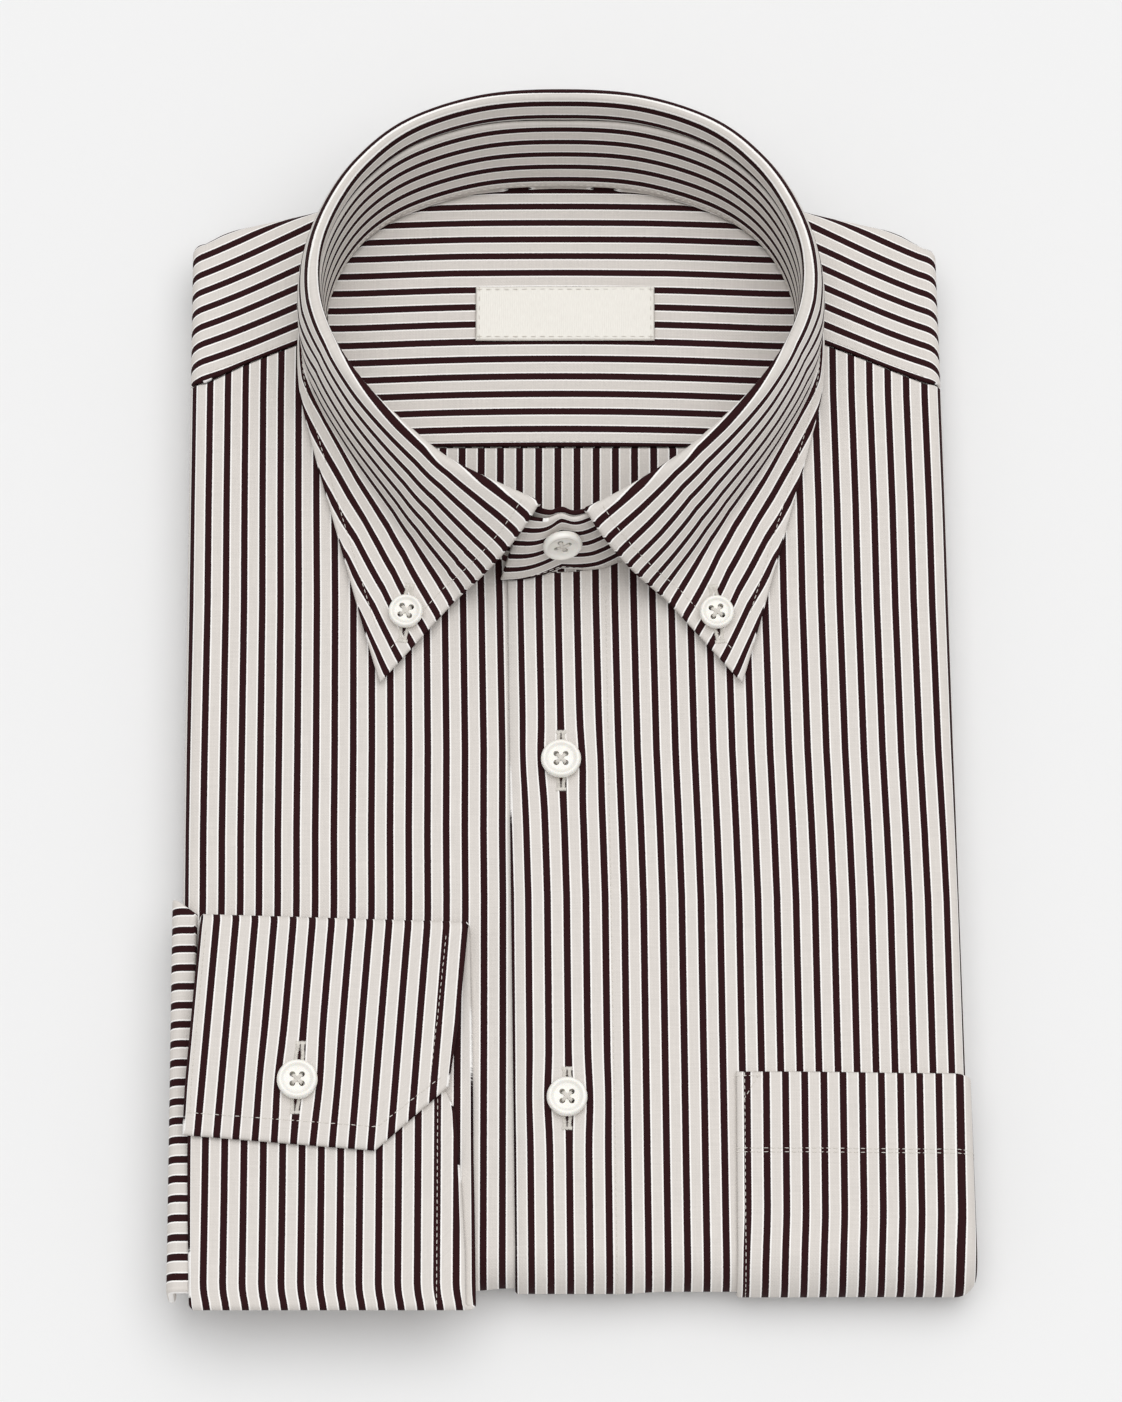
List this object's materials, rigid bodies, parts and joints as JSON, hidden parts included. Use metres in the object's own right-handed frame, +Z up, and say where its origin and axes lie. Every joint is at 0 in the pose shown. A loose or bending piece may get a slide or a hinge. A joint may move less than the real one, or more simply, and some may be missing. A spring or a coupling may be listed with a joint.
{
  "type": "folded dress shirt",
  "caption": "Folded long-sleeved dress shirt with a buttoned button-down collar, laid flat with a cuff brought round to the front, for a shelf, drawer or shop table.",
  "frame": {"origin": "middle of the footprint, on the surface that the shirt lies on", "axes": "+Y from the bottom fold to the collar, +X to the right of someone who looks at the front, +Z up out of the front"},
  "size_m": [0.2268, 0.3626, 0.0563],
  "materials": {
    "striped_cotton": "cotton poplin, pale grey with dark maroon stripes 5.4 mm apart, matt with a slight sheen",
    "cotton_inside": "the same cotton, inside and in the hidden layers",
    "woven_label": "cream woven tape, bare",
    "button": "ivory shell look, polished"
  },
  "bodies": {
    "root": {"folded_layers": "cotton_inside", "front_left": "striped_cotton", "front_right": "striped_cotton", "yoke": "striped_cotton", "yoke_inside": "striped_cotton", "back_inside": "cotton_inside", "label": "woven_label", "collar_band": "striped_cotton", "collar_leaf": "striped_cotton", "pocket": "striped_cotton", "sleeve": "striped_cotton", "cuff": "striped_cotton", "button_front_1": "button", "button_front_2": "button", "button_collar_left": "button", "button_collar_right": "button", "button_cuff": "button", "button_neck": "button"}
  },
  "joints": []
}
